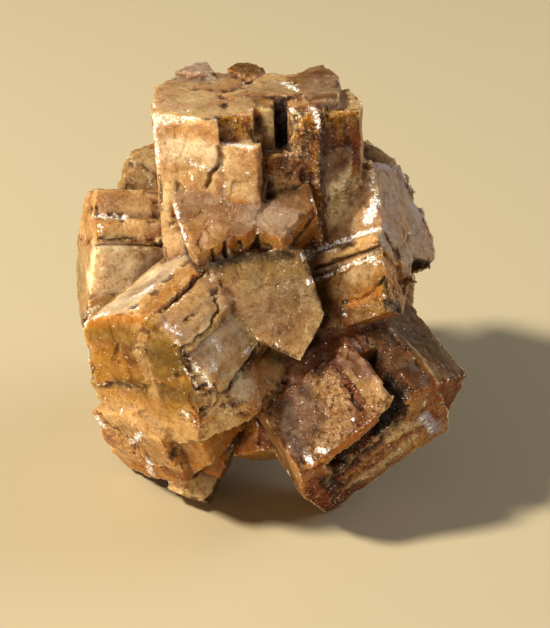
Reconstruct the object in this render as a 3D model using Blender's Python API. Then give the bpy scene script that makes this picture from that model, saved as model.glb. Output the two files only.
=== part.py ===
"""Aragonite specimen: stout six-sided crystals grown through one another, all pointing out of one centre.

Run it with: blender --background --python part.py
Each crystal is a bundle of columns that share an axis. A column is a flat outline, drawn in the plane of the
crystal's end face, extruded from its root near the middle of the cluster to its own reach along the axis.
Outlines are millimetres: x runs to the right and y upwards for someone who faces the end of the crystal.
A column's slope is how far its end face climbs for each millimetre of x and of y.
"""

import math

import bmesh
import bpy
from mathutils import Euler, Matrix, Vector

MM = 0.001
CENTRE_HEIGHT = 18.0  # the crystals' common centre above the surface that the specimen rests on
CORE_RADIUS = 9.5
ROOT_TAPER = 0.95  # a column's root is this much narrower than its end
WELD = 1e-6
SURFACE_CUT = 60.0  # side of the block that trims the lowest corners flat

STONE_COLOUR = (0.42, 0.24, 0.11, 1.0)
STONE_ROUGHNESS = 0.35


def hexagon(radii, turn=0.0, centre=(0.0, 0.0)):
    """A six-cornered outline: one radius for each corner, the first at the given turn in degrees."""
    outline = []
    for corner, radius in enumerate(radii):
        angle = math.radians(turn + 60 * corner)
        outline.append((centre[0] + radius * math.cos(angle), centre[1] + radius * math.sin(angle)))
    return outline


def sector(radii, turn):
    """A wedge of a hexagonal crystal: its centre, set a little back, and one corner for each radius."""
    count = len(radii)
    angles = [math.radians(turn + 60 * corner) for corner in range(count)]
    back = math.radians(turn + 30 * (count - 1)) + math.pi
    outline = [(math.cos(back), math.sin(back))]
    for radius, angle in zip(radii, angles):
        outline.append((radius * math.cos(angle), radius * math.sin(angle)))
    return outline


def column(name, root, reach, outline, slope=(0.0, 0.0)):
    return {"name": name, "root": root, "reach": reach, "outline": outline, "slope": slope}


CRYSTALS = {
    "top": {
        "axis": (107, 82), "roll": 163,
        "columns": [
            column("core", 0, 17.8,
                   [(-10.8, -5.6), (-4.4, -8.0), (-0.4, -6.6), (3.9, -6.5), (6, -5.6), (9.4, -3.6), (9.2, 2),
                    (6.4, 7.6), (-1, 8.6), (-7, 9.6), (-10.6, 5.4)]),
            column("left_block", 4, 22.4,
                   [(-10.9, -5.8), (-4.2, -8.4), (-3.8, -2), (-4.6, 3), (-7, 4.6), (-11.2, 4.4), (-11.2, -1)]),
            column("left_rear", 5, 22.2, [(-11.1, 4), (-6, 2), (-3, 6.5), (-7.8, 9.2), (-10.4, 6.9)]),
            column("rear_ridge", 5, 22.9, [(-9.6, 7.4), (-7.4, 10.8), (-6, 11), (-5.4, 8.6), (-5, 5.4)]),
            column("rear_middle", 5, 22.5, [(-5.8, 8.5), (-3.6, 8), (-1.6, 4.5), (-3.4, 1), (-7, 2)]),
            column("rear_knob", 6, 22.9, [(-3.9, 7.9), (-2.8, 10.6), (-0.9, 10), (0.3, 7), (-1, 4.4)]),
            column("rear_right", 6, 22.6, [(-0.6, 7.2), (2.4, 6), (4, 6.9), (3.4, -2.2), (-2, -1)]),
            column("recess", 8, 22.3, [(-4, -6.9), (-0.9, -6.7), (-0.5, 4), (-4, 4)]),
            column("green_rib", 8, 22.1, [(-0.7, -4.1), (1.1, -4.3), (1.3, 4), (-0.9, 4)]),
            column("grain_rib", 8, 22.0, [(2.4, -4.6), (3.9, -6.1), (5.6, -6.9), (6.6, -4), (5, 3), (2.3, 3)]),
            column("right_block", 7, 22.7,
                   [(4.4, -4.9), (7.6, -3.4), (8, 2.4), (7.6, 5.6), (6.4, 8.8), (4.8, 8.3), (2.8, 4)]),
            column("shoulder", 3, 21.4, [(5.7, -5.2), (9.8, -3.6), (10.1, -1), (9, 4), (5, 4)]),
            column("front_block", 5, 19.6, [(-4.1, -8.3), (-0.4, -9.3), (0, -4), (-3.6, -3)]),
        ],
    },
    "brow": {
        "axis": (-101, 58), "roll": 0,
        "columns": [
            column("left_block", 0, 16.2,
                   [(-8.7, 1), (-6.5, -3), (-5.3, -4.6), (-4.1, -3.9), (-2.9, -2.9), (-1.7, -2.1), (-0.8, -1.9),
                    (0, -1.1), (0.6, 4.5), (-7.9, 4.5)]),
            column("right_block", 0, 16.0,
                   [(-0.1, -1.1), (1.4, -1.3), (2.7, -1.9), (3.2, -1.3), (3.5, -0.3), (5.7, 2.3), (4.5, 5.5),
                    (0.3, 2.4)]),
        ],
    },
    "middle": {
        "axis": (-87, 29), "roll": 0,
        "columns": [
            column("block", 0, 13.2,
                   [(-6.9, 3.4), (-5.7, 0), (-2, -4.1), (2.1, -6.1), (4.7, -1.9), (4.4, -0.6), (3.5, 2.4), (2.7, 5),
                    (-6, 5)]),
        ],
    },
    "right": {
        "axis": (-14, 29), "roll": 0,
        "columns": [
            column("rear_block", 0, 16.1,
                   [(3, 9.2), (0, 7.2), (-2.6, 5), (-3, -2), (0, -4.7), (4, -5.1), (7.2, -4.9), (8.8, -3.8),
                    (8.7, -2.1), (10.1, -1.1), (9.2, 0.6), (10.5, 1.2), (10.3, 2.2), (11, 2.9), (9.8, 5.1),
                    (7.3, 6.5)]),
            column("upper_step", 0, 16.4, [(1.8, 8.9), (-0.8, 6.3), (-3.7, 4.3), (-3, 1), (3, 0), (5, 6)]),
            column("middle_step", 0, 16.2, [(-4.7, 4.5), (-5.4, 3.1), (-4, 0), (1, 1), (-1, 4)]),
            column("lower_step", 0, 15.2,
                   [(-6, 2.7), (-8.7, -2.4), (-6.2, -4.3), (-1.6, -4.4), (2, -4.6), (5, -1), (1, 2.4)],
                   slope=(-0.03, 0.18)),
        ],
        "pockets": [column("pit", 13.6, 18, [(-1.5, -2.2), (1.2, -1.8), (4.4, -4.4), (3.4, -5.8), (-0.6, -5.0)])],
    },
    "left_front": {
        "axis": (-122, -4), "roll": 0,
        "columns": [
            column("block", 1, 20.6,
                   [(-7.6, 6), (-8.9, 2), (-8.8, -1.8), (-8.2, -3.4), (-4.6, -4.2), (-2.3, -5.4), (-0.1, -5.7),
                    (4.1, -4.1), (4.6, 0), (3.6, 4.8), (1.6, 7.8), (-0.4, 8.8), (-4, 8)]),
            column("upper_strip", 1, 20.75,
                   [(-8.7, 6.4), (-8.9, -1.5), (-1, 1.3), (-2.3, 5.6), (-0.6, 9.5), (-3.1, 9.6), (-5.4, 8.4),
                    (-7.5, 7.4)]),
            column("middle_strip", 1, 20.7, [(-0.2, 9.4), (1.7, 8.7), (3.1, 7.5), (3.4, 4.8), (-0.2, 1.8), (-1.6, 5.4)]),
            column("lower_strip", 1, 19.8, [(2.6, 7.1), (5.2, 3.8), (6.1, 1.8), (4.4, -1.5), (2.4, 2.4)],
                   slope=(-0.4, 0.0)),
            column("right_flank", 1, 18.1, [(4.2, 3.0), (6.1, 1.2), (7.9, -1.8), (7.3, -3.3), (4.2, -4.2)],
                   slope=(-1.35, 0.1)),
        ],
    },
    "left": {
        "axis": (-163, 10), "roll": 0,
        "columns": [
            column("core", 0, 19.0,
                   [(-6.8, 8.6), (-9.5, 7.2), (-11.8, 3), (-9.5, -3.5), (-4.8, -6.6), (-3.4, -1.5), (-4, 4)]),
            column("upper", 1, 19.08, [(-6.5, 9), (-9.5, 7.5), (-11, 5), (-8, 2), (-5.2, 6.4)]),
            column("middle", 1, 19.14, [(-4.5, 6.5), (-3.2, 4.7), (-6, 2), (-9, 3.2), (-8, 6)]),
            column("lower", 1, 19.2, [(-2.9, 4.1), (-2.5, -1.5), (-4.5, -7), (-9.4, -3.8), (-11, 1), (-6, 3)]),
        ],
    },
    "right_foot": {
        "axis": (-57, -20), "roll": 0,
        "columns": [
            column("block", 0, 20.6,
                   [(-9.3, -0.4), (-7.5, -6), (-3, -12), (-1.5, -12.5), (0, -10.2), (4, -7.7), (10.8, -4.6),
                    (9.6, -0.6), (5.5, 6), (2, 6.6), (-1, 4.8)]),
            column("upper_slab", 12.5, 21.0, [(-8.9, -0.1), (-6.5, -1.5), (-2, 1), (-0.6, 6.0), (-4.5, 3.3)]),
            column("upper_knob", 12.0, 20.5, [(-2.1, 4.8), (-0.1, 7.0), (1.1, 6.2), (0, 2), (-2, 2)]),
            column("right_flank", 0, 19.6, [(5.4, 6.1), (12.1, 2.6), (12.4, 0), (11.5, -4.0), (9, -3), (5, 2)],
                   slope=(-0.25, 0.0)),
        ],
        "pockets": [
            column("band", 16.4, 24,
                   [(-6.4, -1.0), (-4.8, 0.5), (-1.6, 3.0), (0.4, 5.2), (2.4, 5.2), (2.4, 3), (0, 0.4), (-2.2, -2.6),
                    (-3.7, -4.6)]),
            column("deep_end", 14.2, 24, [(0.2, 4.6), (0.7, 8.4), (3.0, 7.4), (2.2, 4)]),
        ],
    },
    "lower_left": {
        "axis": (-130, -21), "roll": 0,
        "columns": [
            column("upper", 0, 22.0, [(-6.9, 0.9), (-6.9, -2), (-7.6, -4.6), (-3, -6), (4, -2), (3.8, 2.4), (-0.4, 4)]),
            column("lower", 0, 21.2, [(-7.2, -4), (-8.7, -8.4), (-7.4, -10.4), (-2.4, -9.4), (3.2, -6.6), (4, 0), (-4, 0)]),
            column("side", 0, 20.2, [(3, 2), (6.6, 1), (6.2, -3.4), (3, -6.2), (0, -2)], slope=(-0.3, 0.1)),
        ],
    },
    "front_foot": {
        "axis": (-123, -50), "roll": 0,
        "columns": [
            column("block", 0, 23.2, [(-3.3, 1), (-2.7, -2.2), (-0.8, -3.2), (0.8, -2.4), (1.8, 0.2), (1, 3.2), (-2, 3)]),
            column("side", 0, 20.2, [(0, -2.0), (1.9, -1.2), (2.7, 1.4), (0.6, 3.6)]),
        ],
    },
    "underside": {
        "axis": (-86, -46), "roll": 0,
        "columns": [
            column("block", 0, 17.2, hexagon((5, 5.4, 5, 5, 5.2, 4.8), 0)),
        ],
    },
    "rear_left": {
        "axis": (134, 18), "roll": 0,
        "columns": [
            column("block", 0, 20.4,
                   [(5.2, 5.8), (0.6, 5.7), (-4.6, 4), (-5.6, -0.5), (-3, -5), (3, -5.4), (6, -1)]),
            column("raised_part", 2, 21.4, [(3.4, 5.3), (0.2, 5.4), (-2.6, 1.4), (1, -2), (3.6, 1)]),
            column("low_part", 1, 18.4, [(7.0, 6.1), (4, 6), (3, 0), (5, -3), (7.2, 0)]),
        ],
    },
    "rear_right": {
        "axis": (55, 24), "roll": 0,
        "columns": [
            column("block", 0, 19.4,
                   [(-0.6, 5.4), (-2.6, 4.9), (-5.1, 3.6), (-5.8, -1), (-2.6, -4.8), (3, -5), (5.6, -0.4), (3.4, 4.2)]),
            column("raised_part", 2, 20.2, [(-1, 4.6), (-4.2, 2.2), (-3.4, -2.4), (0, -1)]),
        ],
    },
    "rear": {
        "axis": (94, -6), "roll": 0,
        "columns": [
            column("block", 0, 16.2, hexagon((7.5, 7.0, 7.8, 7.2, 7.6, 7.0), 8)),
            column("left_sector", 2, 17.3, sector((7.6, 7.9, 7.3), 128)),
            column("right_sector", 2, 16.7, sector((7.2, 7.9), -52)),
            column("upper_sector", 2, 16.5, sector((6.4, 7.5), 48)),
        ],
    },
    "rear_foot": {
        "axis": (88, -52), "roll": 0,
        "columns": [
            column("block", 0, 19.9, hexagon((6.2, 6.0, 6.5, 6.2, 6.0, 6.4), 30)),
            column("side_sector", 1, 18.6, sector((7.2, 7.4), 150)),
            column("upper_sector", 1, 20.5, sector((5.6, 5.4, 5.8), 30)),
        ],
    },
    "right_rear": {
        "axis": (36, -18), "roll": 0,
        "columns": [
            column("block", 0, 16.4, hexagon((6.0, 6.4, 5.8, 6.2, 6.4, 6.0), 18)),
            column("upper_sector", 1, 17.2, sector((6.2, 6.0), 18)),
            column("lower_sector", 1, 16.8, sector((6.3, 6.8, 6.2), 198)),
        ],
    },
    "left_rear": {
        "axis": (166, -26), "roll": 0,
        "columns": [
            column("block", 0, 18.4, hexagon((6.0, 6.6, 6.4, 6.0, 6.4, 6.2), -8)),
            column("upper_sector", 1, 19.2, sector((6.9, 6.7), 52)),
            column("lower_sector", 1, 18.8, sector((6.2, 6.7), -128)),
        ],
    },
}


def axis_frame(crystal):
    """The turn that takes +Z to the crystal's axis, +X to its horizontal right and +Y upwards, then its roll."""
    azimuth, elevation = crystal["axis"]
    facing = Euler((math.radians(90 - elevation), 0, math.radians(azimuth + 90)), "XYZ").to_matrix().to_4x4()
    return facing @ Matrix.Rotation(math.radians(crystal["roll"]), 4, "Z")


def column_mesh(name, shape):
    """A closed column along +Z: its outline as a filled curve, extruded, made a mesh and shaped at both ends."""
    root, reach = shape["root"], shape["reach"]
    curve = bpy.data.curves.new(name, "CURVE")
    curve.dimensions = "2D"
    curve.fill_mode = "BOTH"
    curve.extrude = (reach - root) / 2 * MM
    spline = curve.splines.new("POLY")
    spline.points.add(len(shape["outline"]) - 1)
    for point, (x, y) in zip(spline.points, shape["outline"]):
        point.co = (x * MM, y * MM, 0, 1)
    spline.use_cyclic_u = True
    drawn = bpy.data.objects.new(name, curve)
    bpy.context.scene.collection.objects.link(drawn)
    mesh = bpy.data.meshes.new_from_object(drawn.evaluated_get(bpy.context.evaluated_depsgraph_get()))
    bpy.data.objects.remove(drawn)

    bm = bmesh.new()
    bm.from_mesh(mesh)
    bmesh.ops.remove_doubles(bm, verts=bm.verts, dist=WELD)
    corners = shape["outline"]
    middle_x = sum(x for x, _ in corners) / len(corners) * MM
    middle_y = sum(y for _, y in corners) / len(corners) * MM
    for vertex in bm.verts:
        if vertex.co.z > 0:
            vertex.co.z = reach * MM
            vertex.co.z += shape["slope"][0] * (vertex.co.x - middle_x) + shape["slope"][1] * (vertex.co.y - middle_y)
        else:
            vertex.co.z = root * MM
            vertex.co.x = middle_x + (vertex.co.x - middle_x) * ROOT_TAPER
            vertex.co.y = middle_y + (vertex.co.y - middle_y) * ROOT_TAPER
    bmesh.ops.recalc_face_normals(bm, faces=bm.faces)
    for face in bm.faces:
        face.smooth = False
    bm.to_mesh(mesh)
    bm.free()
    return mesh


def place_columns(name, crystal, shapes, collection, origin):
    """One object for each column in shapes, turned to the crystal's axis and set at the cluster's centre."""
    for shape in shapes:
        full_name = f"{name}_{shape['name']}"
        placed = bpy.data.objects.new(full_name, column_mesh(full_name, shape))
        placed.matrix_world = Matrix.Translation((0, 0, CENTRE_HEIGHT * MM)) @ axis_frame(crystal)
        placed.parent = origin
        placed.hide_render = True
        placed.display_type = "WIRE"
        collection.objects.link(placed)


def make_core(collection, origin):
    """The closed heart of the cluster, which every crystal grows out of."""
    bm = bmesh.new()
    bmesh.ops.create_icosphere(bm, subdivisions=1, radius=CORE_RADIUS * MM)
    bmesh.ops.translate(bm, verts=bm.verts, vec=(0, 0, CENTRE_HEIGHT * MM))
    mesh = bpy.data.meshes.new("crystal_cluster")
    bm.to_mesh(mesh)
    bm.free()
    core = bpy.data.objects.new("crystal_cluster", mesh)
    core.parent = origin
    collection.objects.link(core)
    return core


def surface_cutter(collection, origin):
    """A block below the surface that the specimen rests on: it leaves the lowest corners flat."""
    bm = bmesh.new()
    bmesh.ops.create_cube(bm, size=SURFACE_CUT * MM)
    bmesh.ops.translate(bm, verts=bm.verts, vec=(0, 0, -SURFACE_CUT / 2 * MM))
    mesh = bpy.data.meshes.new("surface_cut")
    bm.to_mesh(mesh)
    bm.free()
    cutter = bpy.data.objects.new("surface_cut", mesh)
    cutter.parent = origin
    cutter.hide_render = True
    cutter.display_type = "WIRE"
    collection.objects.link(cutter)


def boolean(target, name, operation, collection):
    modifier = target.modifiers.new(name, "BOOLEAN")
    modifier.operation = operation
    modifier.operand_type = "COLLECTION"
    modifier.collection = collection
    modifier.solver = "EXACT"


def stone():
    material = bpy.data.materials.new("aragonite")
    material.use_nodes = True
    surface = material.node_tree.nodes["Principled BSDF"]
    surface.inputs["Base Color"].default_value = STONE_COLOUR
    surface.inputs["Roughness"].default_value = STONE_ROUGHNESS
    surface.inputs["Metallic"].default_value = 0.0
    return material


def stand_on_origin(specimen, origin):
    """Moves the whole growth so that the middle of its underside is at the world's origin."""
    bpy.context.view_layer.update()
    final = specimen.evaluated_get(bpy.context.evaluated_depsgraph_get())
    corners = [specimen.matrix_world @ Vector(corner) for corner in final.bound_box]
    for side in (0, 1):
        origin.location[side] = -(min(c[side] for c in corners) + max(c[side] for c in corners)) / 2
    origin.location[2] = -min(c[2] for c in corners)


def main():
    for thing in list(bpy.data.objects):
        bpy.data.objects.remove(thing)
    parts = bpy.data.collections.new("aragonite_specimen")
    growth = bpy.data.collections.new("growth")
    cutters = bpy.data.collections.new("cutters")
    for collection in (parts, growth, cutters):
        bpy.context.scene.collection.children.link(collection)
    origin = bpy.data.objects.new("specimen_origin", None)
    parts.objects.link(origin)

    for name, crystal in CRYSTALS.items():
        place_columns(name, crystal, crystal["columns"], growth, origin)
        place_columns(name, crystal, crystal.get("pockets", []), cutters, origin)
    surface_cutter(cutters, origin)
    specimen = make_core(parts, origin)
    specimen.data.materials.append(stone())
    boolean(specimen, "crystals", "UNION", growth)
    boolean(specimen, "pockets_and_rest", "DIFFERENCE", cutters)
    stand_on_origin(specimen, origin)


main()
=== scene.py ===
import itertools
import math

import bmesh
import bpy
import numpy as np
from mathutils import Euler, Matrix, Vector
from mathutils.bvhtree import BVHTree
from mathutils.kdtree import KDTree


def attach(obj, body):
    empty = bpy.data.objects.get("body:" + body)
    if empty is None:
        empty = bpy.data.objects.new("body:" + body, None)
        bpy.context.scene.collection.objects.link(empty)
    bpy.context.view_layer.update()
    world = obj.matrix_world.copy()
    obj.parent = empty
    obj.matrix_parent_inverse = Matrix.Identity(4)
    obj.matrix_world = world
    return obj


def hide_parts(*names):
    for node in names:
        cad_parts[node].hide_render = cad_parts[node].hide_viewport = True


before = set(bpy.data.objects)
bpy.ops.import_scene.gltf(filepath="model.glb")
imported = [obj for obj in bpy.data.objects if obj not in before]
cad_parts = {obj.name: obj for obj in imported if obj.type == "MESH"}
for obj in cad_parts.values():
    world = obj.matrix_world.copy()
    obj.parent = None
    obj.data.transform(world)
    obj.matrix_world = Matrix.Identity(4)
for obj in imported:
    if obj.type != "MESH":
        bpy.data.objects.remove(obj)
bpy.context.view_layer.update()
mm = 0.001

cameraSettings = {
    "elevation": 32.0,  # degrees above the horizon
    "distance": 168.0,  # mm, from the middle of the growth
    "lens": 90.0,
    "sensor": 36.0,  # on the picture's long side
    "aimRight": 0.32,  # mm, how far the camera stands off the line to the middle
    "aimUp": -2.03,
    "pictureSize": (550, 628),
    "nearest": 0.01,  # metres, nothing nearer or farther than these shows
    "farthest": 5.0,
}
growthCentre = Vector((0.58, 1.63, 18.0))  # mm, the point that every crystal grows out of

lookUp = math.radians(cameraSettings["elevation"])
cameraRight = Vector((1, 0, 0))
cameraUp = Vector((0, math.sin(lookUp), math.cos(lookUp)))
towardCamera = Vector((0, -math.cos(lookUp), math.sin(lookUp)))
cameraPlace = (growthCentre + towardCamera * cameraSettings["distance"]
               + cameraRight * cameraSettings["aimRight"] + cameraUp * cameraSettings["aimUp"])


def makeCamera():
    data = bpy.data.cameras.new("specimenCamera")
    data.lens = cameraSettings["lens"]
    data.sensor_width = cameraSettings["sensor"]
    data.clip_start = cameraSettings["nearest"]
    data.clip_end = cameraSettings["farthest"]
    camera = bpy.data.objects.new("specimenCamera", data)
    camera.location = cameraPlace * mm
    camera.rotation_euler = Euler((math.radians(90) - lookUp, 0, 0))
    bpy.context.scene.collection.objects.link(camera)
    bpy.context.scene.camera = camera


def sightLine(u, v):
    # direction from the camera through the picture point u, v, counted in pixels from the top left
    width, height = cameraSettings["pictureSize"]
    focal = cameraSettings["lens"] / cameraSettings["sensor"] * height
    across = cameraRight * (u - width / 2) + cameraUp * (height / 2 - v)
    return (across - towardCamera * focal).normalized()


# the stone's colours, as display values from 0 to 1; bluish is a painted reflection of the cool lamp
palette = {
    "white": (0.98, 0.97, 0.93),
    "milk": (0.93, 0.86, 0.72),
    "cream": (0.87, 0.77, 0.58),
    "bone": (0.78, 0.68, 0.50),
    "paleHoney": (0.78, 0.64, 0.43),
    "honey": (0.72, 0.55, 0.33),
    "gold": (0.70, 0.53, 0.21),
    "orange": (0.70, 0.46, 0.15),
    "amber": (0.58, 0.43, 0.14),
    "olive": (0.54, 0.43, 0.16),
    "darkOlive": (0.40, 0.29, 0.09),
    "rust": (0.52, 0.27, 0.08),
    "darkRed": (0.36, 0.16, 0.03),
    "cocoa": (0.44, 0.28, 0.11),
    "tan": (0.68, 0.54, 0.36),
    "greyTan": (0.58, 0.49, 0.34),
    "plum": (0.58, 0.47, 0.35),
    "duskyPink": (0.71, 0.57, 0.42),
    "lavender": (0.65, 0.57, 0.50),
    "bluish": (0.68, 0.66, 0.74),
    "umber": (0.14, 0.07, 0.025),
    "soot": (0.04, 0.02, 0.01),
}


def linear(colour):
    # from display values to the light that they stand for
    return np.array([c / 12.92 if c <= 0.04045 else ((c + 0.055) / 1.055) ** 2.4 for c in colour])


tints = {name: linear(colour) for name, colour in palette.items()}

# the crystals: azimuth and elevation of the axis in degrees, and the usual colours of sides and ends
crystals = {
    "top": ((107, 82), "honey", "plum"),
    "brow": ((-101, 58), "orange", "greyTan"),
    "middle": ((-87, 29), "cocoa", "greyTan"),
    "right": ((-14, 29), "tan", "lavender"),
    "leftFront": ((-122, -4), "tan", "amber"),
    "left": ((-163, 10), "paleHoney", "tan"),
    "rightFoot": ((-57, -20), "cocoa", "honey"),
    "lowerLeft": ((-130, -21), "gold", "honey"),
    "frontFoot": ((-123, -50), "rust", "greyTan"),
    "underside": ((-86, -46), "rust", "amber"),
    "rearLeft": ((134, 18), "tan", "greyTan"),
    "rearRight": ((55, 24), "tan", "plum"),
    "rear": ((94, -6), "honey", "gold"),
    "rearFoot": ((88, -52), "gold", "cocoa"),
    "rightRear": ((30, -18), "tan", "greyTan"),
    "leftRear": ((166, -26), "gold", "honey"),
}

# single faces that differ from their crystal: a picture point that lies on the face, its two tints, and how
# granular it is, if that isn't plainGrain; some tints are painted light and shade: faces that lie in shade
# painted pale as if lit, and holes, cavities, crevices and undersides painted dark as shade
plainGrain = 0.1
faces = {
    "topRoofLeft": ((185, 100), "duskyPink", "bone"),
    "topRoofMiddle": ((240, 102), "duskyPink", "bone"),
    "topRoofBack": ((225, 82), "plum", "tan"),
    "topRearRidge": ((198, 68), "lavender", "plum"),
    "topRearKnob": ((248, 68), "darkOlive", "cocoa"),
    "topRearRight": ((275, 85), "bone", "tan"),
    "topRightBlock": ((318, 80), "cocoa", "plum"),
    "topRightEdge": ((330, 103), "lavender", "tan"),
    "topRightRoof": ((350, 100), "bone", "tan", 0.5),
    "topLeftFront": ((185, 155), "duskyPink", "cream"),
    "topFrontBlock": ((240, 175), "bone", "honey"),
    "topFrontLedge": ((242, 144), "cream", "paleHoney"),
    "topRecessBack": ((240, 125), "gold", "honey", 0.4),
    "topGreenRib": ((266, 125), "cream", "olive"),
    # painted shade: the hole is painted near-black
    "topHole": ((281, 122), "umber", "soot"),
    "topGrainFront": ((295, 128), "gold", "bone", 0.8),
    "topGrainRib": ((313, 135), "gold", "cocoa", 0.9),
    "topGrainLedge": ((280, 152), "bone", "honey", 0.8),
    "topBelowRecess": ((285, 170), "paleHoney", "orange", 0.5),
    # the top's right face: brown-rust, painted darker as shade
    "topRightFront": ((350, 130), "cocoa", "rust", 0.5),
    # painted light: the shoulder is painted pale where the top crystal's shadow falls on it
    "topShoulder": ((338, 185), "milk", "bone", 0.3),
    # painted shade in the crevice beside the shoulder
    "topShoulderSide": ((323, 160), "darkRed", "umber"),
    "leftUpperSide": ((120, 202), "cream", "duskyPink"),
    "leftMiddleSide": ((130, 230), "cream", "paleHoney"),
    # painted light: this lower side lies in shade and is painted near-white as if lit
    "leftLowerSide": ((120, 265), "white", "milk"),
    "leftEnd": ((83, 275), "greyTan", "tan"),
    "leftEndUpper": ((88, 200), "tan", "honey"),
    "leftEndMiddle": ((89, 230), "tan", "honey"),
    "rearLeftEnd": ((143, 180), "bone", "greyTan"),
    "rearLeftUpper": ((145, 158), "bone", "greyTan"),
    "browLeft": ((210, 220), "plum", "cocoa"),
    "browRight": ((285, 208), "plum", "cocoa"),
    # the rim under the brow: its own orange, painted brighter as a glow where it lies in shade
    "browRimLeft": ((213, 254), "orange", "gold"),
    "browRimA": ((230, 246), "orange", "rust"),
    "browRimB": ((241, 243), "gold", "orange"),
    "browRimC": ((251, 240), "orange", "honey"),
    "browRimD": ((262, 240), "gold", "orange"),
    "browRimE": ((277, 243), "honey", "orange"),
    "browRimRight": ((305, 228), "orange", "darkRed"),
    "middleEnd": ((270, 295), "greyTan", "tan", 0.3),
    "rightCorner": ((362, 207), "tan", "duskyPink"),
    "rightUpperSide": ((352, 230), "tan", "plum"),
    "rightMiddleSide": ((345, 252), "paleHoney", "honey"),
    "rightLedge": ((345, 262), "cream", "honey"),
    "rightLowerSide": ((350, 290), "amber", "cocoa", 0.3),
    "rightEndInner": ((392, 215), "lavender", "duskyPink"),
    "rightEnd": ((412, 220), "lavender", "duskyPink"),
    "rightEndLower": ((388, 250), "lavender", "tan"),
    "rightLowerEnd": ((395, 285), "honey", "rust", 0.6),
    "rightUnderside": ((377, 320), "amber", "rust"),
    "rearRightEnd": ((380, 155), "bone", "greyTan"),
    "frontEndLeft": ((110, 355), "amber", "gold"),
    "frontEndMiddle": ((162, 358), "amber", "olive"),
    "frontEndLower": ((165, 400), "gold", "amber"),
    "frontStripEdge": ((120, 290), "lavender", "bone"),
    "frontStripUpper": ((150, 280), "lavender", "milk"),
    "frontStripCentre": ((165, 292), "paleHoney", "honey"),
    "frontStripMiddle": ((185, 305), "paleHoney", "duskyPink"),
    "frontStripRight": ((205, 312), "paleHoney", "duskyPink"),
    # painted light: these strip and flank faces lie in shade and are painted pale as if lit
    "frontStripStep": ((205, 330), "cream", "honey"),
    "frontStripLower": ((220, 345), "milk", "honey"),
    "frontFlankTop": ((238, 364), "cream", "honey"),
    "frontFlankSide": ((262, 382), "cream", "honey", 0.2),
    "frontFlankStep": ((204, 382), "bone", "paleHoney", 0.5),
    "frontFlankEnd": ((225, 415), "honey", "cream", 0.3),
    "frontBelowEnd": ((218, 446), "gold", "orange"),
    "frontBelowFlank": ((245, 442), "orange", "rust"),
    "lowerLeftTop": ((110, 411), "honey", "tan"),
    "lowerLeftUpper": ((150, 427), "olive", "amber", 0.2),
    "lowerLeftEnd": ((130, 442), "honey", "tan", 0.4),
    "lowerLeftRight": ((172, 452), "honey", "orange"),
    "lowerLeftUnder": ((150, 470), "paleHoney", "orange", 0.4),
    "frontFootTop": ((197, 458), "honey", "orange", 0.3),
    "frontFootUpper": ((220, 467), "rust", "orange"),
    "frontFootSide": ((203, 488), "milk", "cream"),
    "frontFootEnd": ((183, 490), "cream", "honey"),
    # painted shade: the foot's left side, reddish brown, is painted darker where it lies in shade
    "footLeftSide": ((305, 425), "cocoa", "umber", 0.3),
    "footSlab": ((340, 400), "darkRed", "cocoa", 1.0),
    "footKnob": ((365, 385), "amber", "cocoa"),
    # painted shade on the dome's side and in the groove under the right crystal
    "footDomeSide": ((397, 355), "umber", "cocoa"),
    "footGroove": ((391, 375), "cocoa", "umber", 0.6),
    "footSlabEdge": ((344, 447), "orange", "rust", 0.7),
    # painted shade in the cavity
    "footCavityLow": ((350, 455), "darkRed", "umber", 0.8),
    "footCavityHigh": ((387, 418), "umber", "soot", 0.5),
    "footRim": ((400, 440), "honey", "rust", 0.7),
    # painted shade: the foot's right side lies in shade
    "footRightSide": ((430, 350), "darkOlive", "cocoa"),
    "footRightEnd": ((450, 390), "cocoa", "rust"),
    "footLeftEdge": ((280, 440), "cocoa", "rust"),
    # painted shade in the hollow under the right crystal
    "hollowAboveFoot": ((315, 352), "rust", "umber"),
}
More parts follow.
